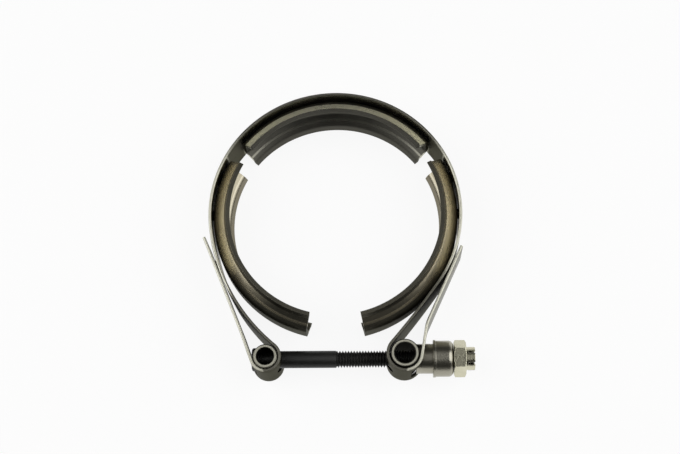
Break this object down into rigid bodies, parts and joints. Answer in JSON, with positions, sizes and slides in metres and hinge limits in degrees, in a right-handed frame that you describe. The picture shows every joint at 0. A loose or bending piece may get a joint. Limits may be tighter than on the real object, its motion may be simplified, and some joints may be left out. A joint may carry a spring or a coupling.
{
  "type": "v-band clamp",
  "caption": "Round V-band exhaust clamp: a strap lined with V-section segments, its looped ends drawn together by a trunnion bolt, sleeve, collar and slotted lock nut.",
  "frame": {"origin": "centre of the ring, on its axis, half way across the band's width", "axes": "+Z along the ring's axis, +X along the bolt towards the nut, +Y away from the bolt"},
  "size_m": [0.0951, 0.1029, 0.019],
  "materials": {
    "strap_steel": "bright rolled stainless strip",
    "segment_steel": "pressed stainless sheet, warm brown sheen on the flanges",
    "tube_steel": "cut stainless tube, satin",
    "turned_steel": "turned stainless, polished",
    "black_steel": "black oxide",
    "nut_steel": "pale silver plating, slightly yellow"
  },
  "bodies": {
    "ring": {"band": "strap_steel", "segment_top": "segment_steel"},
    "bolt_jaw": {"segment_left": "segment_steel"},
    "bolt_unit": {"t_bolt": "black_steel", "bolt_tube": "tube_steel"},
    "nut_jaw": {"segment_right": "segment_steel"},
    "trunnion": {"nut_tube": "tube_steel", "sleeve": "turned_steel", "collar": "turned_steel"},
    "nut": {"lock_nut": "nut_steel"}
  },
  "joints": [
    {"name": "nut_spin", "type": "hinge", "parent": "trunnion", "child": "nut", "pos_m": [0.0412, -0.0514, 0], "axis": [-1, 0, 0], "range_deg": [0, 3600]},
    {"name": "bolt_side_flex", "type": "hinge", "parent": "ring", "child": "bolt_jaw", "pos_m": [-0.03691, 0.02485, 0], "axis": [0, 0, 1], "range_deg": [0, 3.95], "deforming": ["band"]},
    {"name": "bolt_pivot", "type": "hinge", "parent": "bolt_jaw", "child": "bolt_unit", "pos_m": [-0.0241, -0.0519, 0], "axis": [0, 0, 1], "range_deg": [-3.95, 0]},
    {"name": "nut_side_flex", "type": "hinge", "parent": "ring", "child": "nut_jaw", "pos_m": [0.03691, 0.02485, 0], "axis": [0, 0, 1], "range_deg": [-3.95, 0], "deforming": ["band"]},
    {"name": "trunnion_pivot", "type": "hinge", "parent": "nut_jaw", "child": "trunnion", "pos_m": [0.0241, -0.051, 0], "axis": [0, 0, 1], "range_deg": [0, 3.95]}
  ],
  "couplings": [
    {"joint": "bolt_side_flex", "follows": "nut_spin", "ratio": 0.0010429},
    {"joint": "bolt_pivot", "follows": "nut_spin", "ratio": -0.0010429},
    {"joint": "nut_side_flex", "follows": "nut_spin", "ratio": -0.0010429},
    {"joint": "trunnion_pivot", "follows": "nut_spin", "ratio": 0.0010429}
  ]
}
